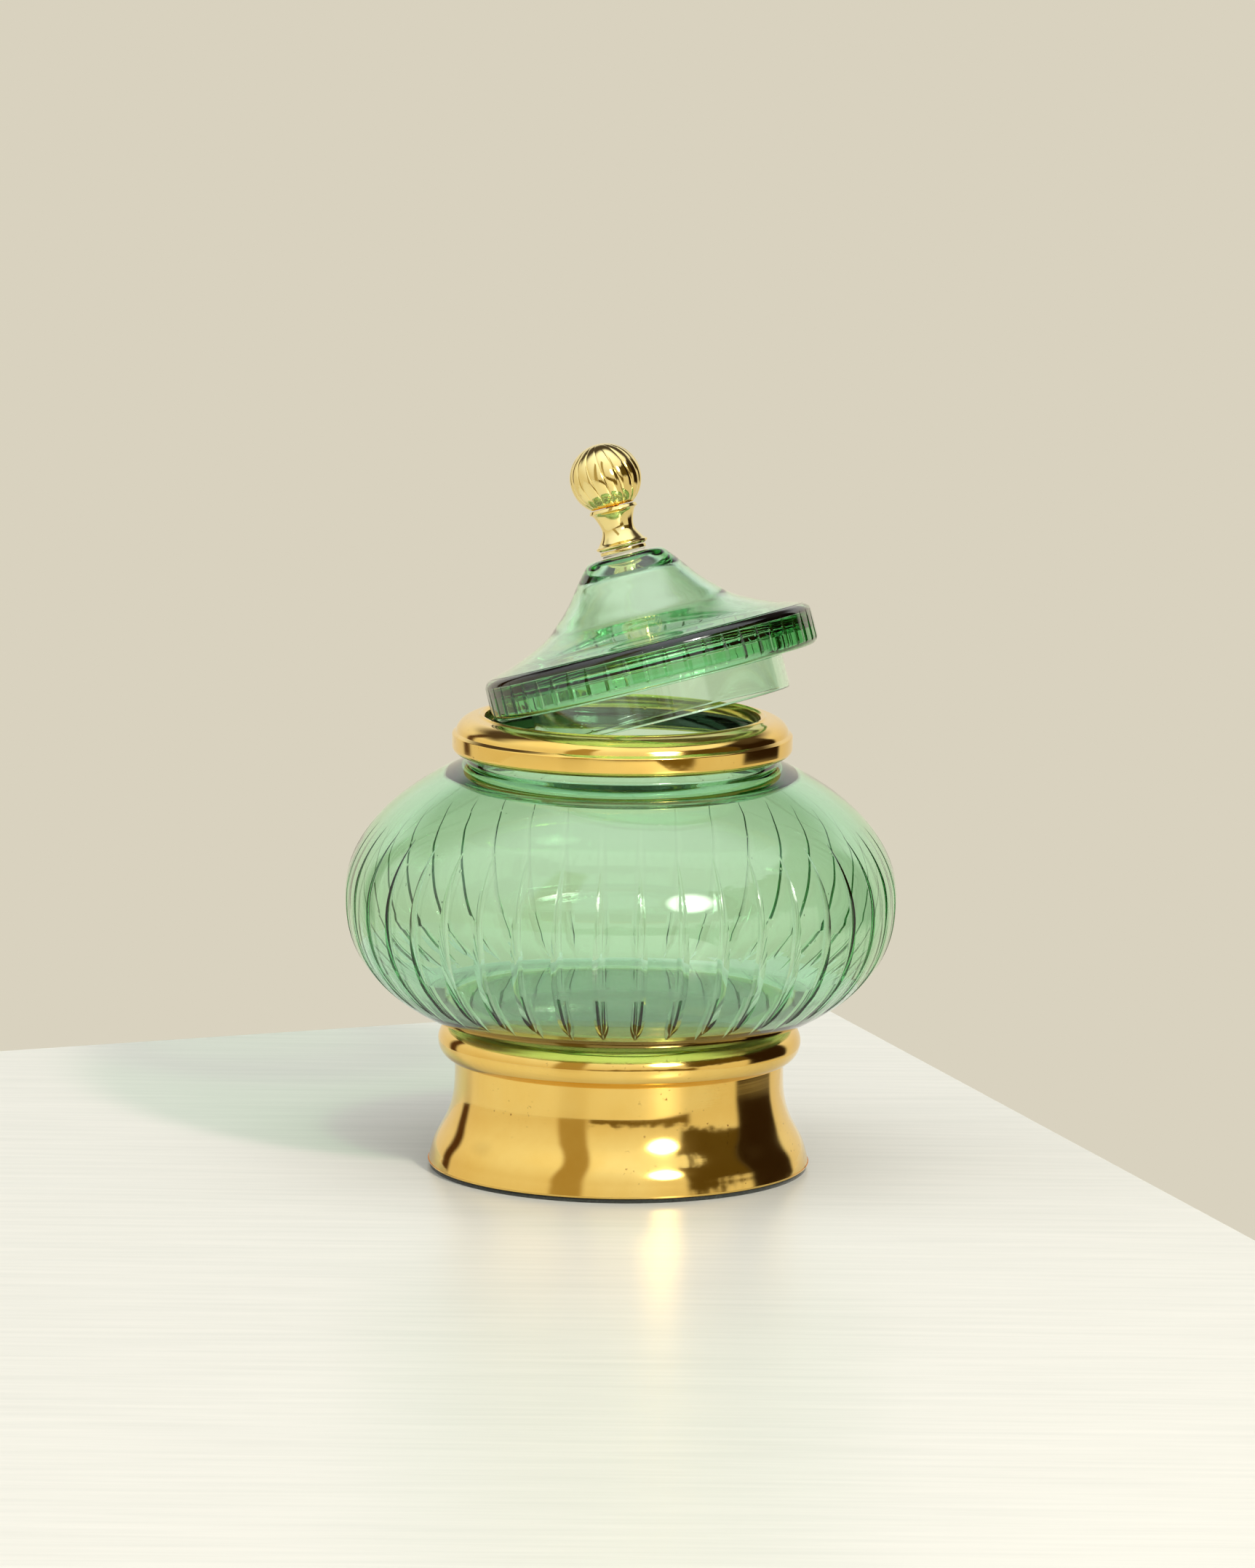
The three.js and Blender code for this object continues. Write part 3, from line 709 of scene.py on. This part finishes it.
# %% The lid's place
def node_points(name):
    """Every point of a frame node, in metres."""
    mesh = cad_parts[name].data
    flat = np.empty(len(mesh.vertices) * 3)
    mesh.vertices.foreach_get("co", flat)
    return flat.reshape(-1, 3)


lid_points = node_points("glass_lid")
lid_middle = lid_points.mean(axis=0)
up = node_points("knob_stem").mean(axis=0) - lid_middle
up /= np.linalg.norm(up)
side = np.cross((0.0, 1.0, 0.0), up)
side /= np.linalg.norm(side)
along = (lid_points - lid_middle) @ up
lid_origin = lid_middle + up * (along.max() - LID_HEIGHT * MM)
lid_place = Matrix.Identity(4)
for column, axis in enumerate((side, np.cross(up, side), up, lid_origin)):
    for row in range(3):
        lid_place[row][column] = axis[row]
print(f"the lid leans {math.degrees(math.acos(up[2])):.1f} degrees")

# %% [markdown]
# ## The lid
#
# A tent-shaped lid: a flat crown, a hollow slope, an upright band with short ground cuts, and a thin
# flange that should drop into the mouth. The wall thickens towards the band.

# %% Lid
BAND_HALF = LID_BAND / 2
LID_CUTS = 52
LID_CUT_WIDTH = 2.8
LID_CUT_DEPTH = 0.45


def lid_slope(wall, count):
    """The hollow slope, or the same line inside a wall that grows towards the band."""
    drop, run = LID_HEIGHT - BAND_HALF, LID_RADIUS - LID_TOP
    return through([(
        LID_TOP + run * out - wall * (1 - out * 0.75),
        BAND_HALF + drop * rise - wall * (0.35 + out * 0.6),
    ) for out, rise in LID_CURVE], count)


def lid_outline():
    """Under the crown, down inside, round the flange, up the band and over the slope."""
    bottom, bore = -BAND_HALF - FLANGE_DROP, FLANGE - FLANGE_WALL
    under = [(0, LID_HEIGHT - LID_WALL), (LID_TOP * 0.6, LID_HEIGHT - LID_WALL * 1.1)]
    hollow = through([under[1], *lid_slope(LID_WALL, 9)[::-1]], 50)
    flange = worn([
        hollow[-1], (bore, 0), (bore, bottom), (FLANGE, bottom), (FLANGE, -BAND_HALF),
        (LID_RADIUS - LID_BAND_ROUND - 1, -BAND_HALF),
    ], 0.8)
    edge = LID_RADIUS - LID_BAND_ROUND
    low = oval(edge, LID_BAND_ROUND - BAND_HALF, LID_BAND_ROUND, LID_BAND_ROUND, -90, 0, 14)
    high = oval(edge, BAND_HALF - LID_BAND_ROUND / 3, LID_BAND_ROUND, LID_BAND_ROUND, 0, 75, 12)
    wall = spaced(np.array([low[-1], high[0]]), 0.8)[1:-1]
    crown = oval(LID_TOP - LID_CROWN, LID_HEIGHT - LID_CROWN_RISE, LID_CROWN, LID_CROWN_RISE, 20, 90, 12)
    slope = lid_slope(0, 70)
    over = through([slope[-2], slope[-1], crown[0], crown[1]], 25)[9:16]
    top = [(6.0, LID_HEIGHT), (0, LID_HEIGHT)]
    return np.vstack([under[:1], hollow, flange[1:], low, wall, high, slope, over[1:], crown[1:], top])


# %% Lid mesh
lid_shape = fluted(
    lid_outline(), LID_CUTS, -BAND_HALF + 1.6, BAND_HALF - 0.2, LID_CUT_WIDTH, LID_CUT_DEPTH,
    wall=lambda height: np.full_like(height, LID_RADIUS - LID_BAND_ROUND),
)
piece("lid", lid_shape, lid_glass, "lid", "glass_lid", lid_place)

# %% [markdown]
# ## The knob
#
# Three brass pieces on a steel stud: a stepped foot ring, a waisted stem with a cup, and a gadrooned
# ball. The ball's lobes are round with sharp valleys, and turn a little as they climb.

# %% Knob sizes
GAP = 0.3
FOOT_RING_RADIUS = 8.4
FOOT_RING_HEIGHT = 1.3
STEM_LIP = 9.4
STEM_WAIST = 5.8
STEM_CUP = 8.9
STEM_HEIGHT = 14.9
STUD_BORE = 2.8
STUD_IN_BALL = 7.0
BALL_RADIUS = 13.0
BALL_HALF = 12.7
BALL_LOBES = 16
BALL_LOBE_DEPTH = 0.5
BALL_TWIST = -12.0

RING_BASE = LID_HEIGHT + GAP + 0.5 + GAP
STEM_BASE = RING_BASE + FOOT_RING_HEIGHT + GAP
STEM_TOP = STEM_BASE + STEM_HEIGHT
BALL_BASE = STEM_TOP + GAP
BALL_SEAT = STEM_CUP - 1.3
BALL_MIDDLE = BALL_BASE + BALL_HALF * math.sqrt(1 - (BALL_SEAT / BALL_RADIUS) ** 2)
KNOB_COLUMNS = 160

# %% Knob foot and stem
ring_outline = worn([
    (STUD_BORE, RING_BASE), (FOOT_RING_RADIUS, RING_BASE),
    (FOOT_RING_RADIUS, RING_BASE + FOOT_RING_HEIGHT),
    (STUD_BORE, RING_BASE + FOOT_RING_HEIGHT), (STUD_BORE, RING_BASE),
], 0.25)
piece(
    "knob_ring", turned(ring_outline, rounds(KNOB_COLUMNS)), cast_brass,
    "lid", "knob_foot", lid_place,
)


def stem_outline():
    """A square-edged lip, a hollow waist and a thin-edged cup."""
    waist = through([
        (STEM_LIP, STEM_BASE + STEM_HEIGHT * 0.09), (STEM_LIP - 1.5, STEM_BASE + STEM_HEIGHT * 0.18),
        (STEM_WAIST, STEM_BASE + STEM_HEIGHT * 0.47), (STEM_CUP - 1.6, STEM_BASE + STEM_HEIGHT * 0.82),
        (STEM_CUP, STEM_BASE + STEM_HEIGHT * 0.92),
    ], 48)
    lip = worn([
        (STUD_BORE, STEM_BASE), (STEM_LIP - 0.9, STEM_BASE), (STEM_LIP, STEM_BASE + 0.7),
        waist[0], waist[2],
    ], 0.2)[:-1]
    cup = worn([
        waist[-3], waist[-1], (STEM_CUP - 0.5, STEM_TOP), (STUD_BORE, STEM_TOP), (STUD_BORE, STEM_BASE),
    ], 0.2)
    return np.vstack([lip, waist[3:-3], cup])


piece(
    "knob_stem_turned", turned(stem_outline(), rounds(KNOB_COLUMNS)), cast_brass,
    "lid", "knob_stem", lid_place,
)


# %% Knob ball
def ball_outline():
    """From the stud's socket, out under the seat and up over the ball."""
    socket = STEM_TOP + STUD_IN_BALL + GAP
    seat = -angle_at(BALL_SEAT / BALL_RADIUS)
    skin = oval(0, BALL_MIDDLE, BALL_RADIUS, BALL_HALF, seat, 88, 72)
    bore = [(0, socket), (STUD_BORE, socket), (STUD_BORE, BALL_BASE)]
    return np.vstack([bore, skin, [(0, BALL_MIDDLE + BALL_HALF)]])


def gadroons(radius, angle, height):
    """Each lobe is half a circle across: the skin sinks by depth * (1 - sqrt(1 - (1 - d) ** 2)),
    where d is 0 in a valley and 1 on a crest, and fades towards the poles."""
    climb = np.clip((height - BALL_MIDDLE) / BALL_HALF, -1, 1)
    skin = radius > STUD_BORE + 0.01  # not the socket
    turn = (angle * BALL_LOBES / (2 * math.pi)) % 1
    away = 1 - np.minimum(turn, 1 - turn) * 2
    sink = BALL_LOBE_DEPTH * (1 - np.sqrt(np.clip(1 - away**2, 0, 1))) * np.sqrt(1 - climb**2)
    return radius - sink * skin, angle + np.radians(BALL_TWIST) * climb * skin


piece(
    "knob_ball_gadrooned", turned(ball_outline(), rounds(BALL_LOBES * 16), gadroons), cast_brass,
    "lid", "knob_ball", lid_place, crease=50,
)

# %% [markdown]
# ## Hidden pieces
#
# The bedding, the bond and the stud are seen only through glass or not at all. Their frame nodes
# stay, and only get a finish.

# %% Finishes for the frame's own nodes
# The bedding finish on both cements carries painted shade for the foot's hollow.
HIDDEN_FINISHES = {"bowl_cement": shade_darkened_bedding, "rim_cement": shade_darkened_bedding, "knob_bond": bond, "knob_stud": steel}
for node, finish in HIDDEN_FINISHES.items():
    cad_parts[node].data.materials.clear()
    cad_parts[node].data.materials.append(finish)

# %% [markdown]
# ## Floor and light
#
# A pale painted board and a plain warm background. Polished metal and glass show their
# surroundings, so the light is a soft studio: a bright broad sky, one strong soft lamp to the front
# right, and darker stretches behind the camera that draw the shapes of the brass.

# %% Floor
BOARD_CORNER = (0.075, 0.334)
BOARD_LEFT = (-0.923, -0.384)
BOARD_RIGHT = (0.3105, -0.9506)
BOARD_LONG = 3.0


def board():
    """One flat sheet with its far corner behind the jar."""
    corner, left, right = (np.array(v) for v in (BOARD_CORNER, BOARD_LEFT, BOARD_RIGHT))
    ring = [corner + BOARD_LONG * way for way in (0 * left, left, left + right, right)]
    mesh = bpy.data.meshes.new("floor")
    mesh.from_pydata([(*p, 0.0) for p in ring], [], [(0, 1, 2, 3)])
    made = bpy.data.objects.new("floor", mesh)
    bpy.context.scene.collection.objects.link(made)
    return made


def painted_board():
    made, tree, out = blank("painted_board")
    where = add(tree, "ShaderNodeTexCoord").outputs["Object"]
    turn = add(
        tree, "ShaderNodeMapping",
        Vector=where, Rotation=(0, 0, -0.3), Scale=(6.0, 120.0, 1.0),
    ).outputs[0]
    brush = add(tree, "ShaderNodeTexNoise", Vector=turn, Scale=2.0, Detail=4.0).outputs["Fac"]
    marks = add(tree, "ShaderNodeBump", Strength=0.08, Distance=0.0004, Height=brush)
    colour = ramp(tree, brush, ((0.3, linear("dcddd6")), (0.7, linear("e6e6df"))))
    shader = add(tree, "ShaderNodeBsdfPrincipled", Base_Color=colour, Roughness=0.32, Normal=marks.outputs[0])
    tree.links.new(shader.outputs[0], out.inputs["Surface"])
    return made


floor = board()
floor.data.materials.append(painted_board())

# %% Studio surroundings
STUDIO_FLATS = (
    (-135, -125, -12, 50, "straight", "4a3018"),
    (-42, -22, -12, 60, "straight", "a8976c"),
    (-20, 50, -12, 6, "ragged", "6c5a2c"),
    (44, 92, 10, 40, "ragged", "54461f"),
    (90, 132, -12, 44, "straight", "281b0e"),
)
KEY_FROM = (32, 31)  # azimuth and elevation of the lamp
KEY_HALO = 9.0  # degrees from the middle of the lamp's glow to its edge
KEY_GLOW = (9.0, 8.8, 8.2, 1.0)


def direction(azimuth, elevation):
    """Unit vector towards degrees to the right of the camera and degrees above the horizon."""
    a, e = math.radians(azimuth), math.radians(elevation)
    return Vector((math.sin(a) * math.cos(e), -math.cos(a) * math.cos(e), math.sin(e)))


def studio():
    """The world. Dark flats stand round the horizon, each between two azimuths and two heights, in
    degrees. Azimuth 0 is behind the camera and the camera's right is positive."""
    world = bpy.data.worlds.new("studio")
    bpy.context.scene.world = world
    world.use_nodes = True
    tree = world.node_tree
    tree.nodes.clear()
    way = add(tree, "ShaderNodeTexCoord").outputs["Generated"]
    parts = add(tree, "ShaderNodeSeparateXYZ", Vector=way).outputs

    def maths(operation, *values):
        sockets = {f"in_{i}": value for i, value in enumerate(values)}
        return add(tree, "ShaderNodeMath", {"operation": operation}, **sockets).outputs[0]

    def step(value, edge, soft):
        """0 below the edge and 1 above it, over a soft stretch."""
        return add(
            tree, "ShaderNodeMapRange", {"interpolation_type": "SMOOTHSTEP"},
            Value=value, From_Min=edge - soft, From_Max=edge + soft,
        ).outputs["Result"]

    ragged = add(tree, "ShaderNodeTexNoise", Vector=way, Scale=9.0, Detail=5.0, Roughness=0.6).outputs["Fac"]
    height = maths("DEGREES", maths("ARCSINE", parts["Z"]))
    ragged_height = maths("ADD", height, maths("MULTIPLY", maths("SUBTRACT", ragged, 0.5), 26.0))
    azimuth = maths("DEGREES", maths("ARCTAN2", parts["X"], maths("MULTIPLY", parts["Y"], -1.0)))
    wall = linear("d9d2bf")
    sky = ramp(tree, maths("DIVIDE", maths("ADD", height, 20.0), 110.0), (
        (0.0, linear("d2cbb6")), (0.22, wall), (0.5, linear("eef1f2")), (1.0, (1.35, 1.4, 1.45, 1.0)),
    ))
    colour = sky
    for start, stop, bottom, top, edge, shade in STUDIO_FLATS:
        up = ragged_height if edge == "ragged" else height
        before_stop = maths("SUBTRACT", 1.0, step(azimuth, stop, 2.5))
        within = maths("MULTIPLY", step(azimuth, start, 2.5), before_stop)
        low = maths("MULTIPLY", maths("SUBTRACT", 1.0, step(up, top, 1.5)), step(up, bottom, 3.0))
        colour = add(
            tree, "ShaderNodeMix", {"data_type": "RGBA"},
            in_0=maths("MULTIPLY", within, low), in_6=colour, in_7=linear(shade),
        ).outputs[2]
    behind = maths("MULTIPLY", step(parts["Y"], 0.25, 0.2), step(height, 28.0, 8.0))
    behind = maths("MULTIPLY", behind, maths("SUBTRACT", 1.0, step(height, 66.0, 10.0)))
    colour = add(
        tree, "ShaderNodeMix", {"data_type": "RGBA"},
        in_0=behind, in_6=colour, in_7=linear("4a423d"),
    ).outputs[2]
    near = add(
        tree, "ShaderNodeVectorMath", {"operation": "DOT_PRODUCT"},
        in_0=way, in_1=tuple(direction(*KEY_FROM)),
    ).outputs["Value"]
    halo = step(near, math.cos(math.radians(KEY_HALO)), 0.006)
    colour = add(
        tree, "ShaderNodeMix", {"data_type": "RGBA"},
        in_0=halo, in_6=colour, in_7=KEY_GLOW,
    ).outputs[2]
    seen = add(tree, "ShaderNodeLightPath").outputs["Is Camera Ray"]
    shown = add(tree, "ShaderNodeMix", {"data_type": "RGBA"}, in_0=seen, in_6=colour, in_7=wall).outputs[2]
    power = add(tree, "ShaderNodeMapRange", Value=seen, To_Min=1.18, To_Max=1.0).outputs["Result"]
    glow = add(tree, "ShaderNodeBackground", Color=shown, Strength=power)
    add(tree, "ShaderNodeOutputWorld", Surface=glow.outputs[0])


studio()

# %% Lamps
def lamp(name, azimuth, elevation, distance, size, power, colour):
    """A square soft lamp that looks at the jar."""
    aim = Vector((0, 0, 0.12))
    place = aim + distance * direction(azimuth, elevation)
    data = bpy.data.lights.new(name, "AREA")
    data.size, data.energy, data.color = size, power, linear(colour)[:3]
    made = bpy.data.objects.new(name, data)
    turn = (aim - place).to_track_quat("-Z", "Y").to_matrix().to_4x4()
    made.matrix_world = Matrix.Translation(place) @ turn
    bpy.context.scene.collection.objects.link(made)


lamp("key", *KEY_FROM, 3.0, 0.26, 52, "fff4e2")

# %% View settings
scene = bpy.context.scene
scene.view_settings.view_transform = "Standard"
scene.cycles.max_bounces = 24
scene.cycles.transmission_bounces = 22
scene.cycles.transparent_max_bounces = 32
scene.cycles.glossy_bounces = 8
scene.cycles.caustics_refractive = False
scene.cycles.caustics_reflective = False
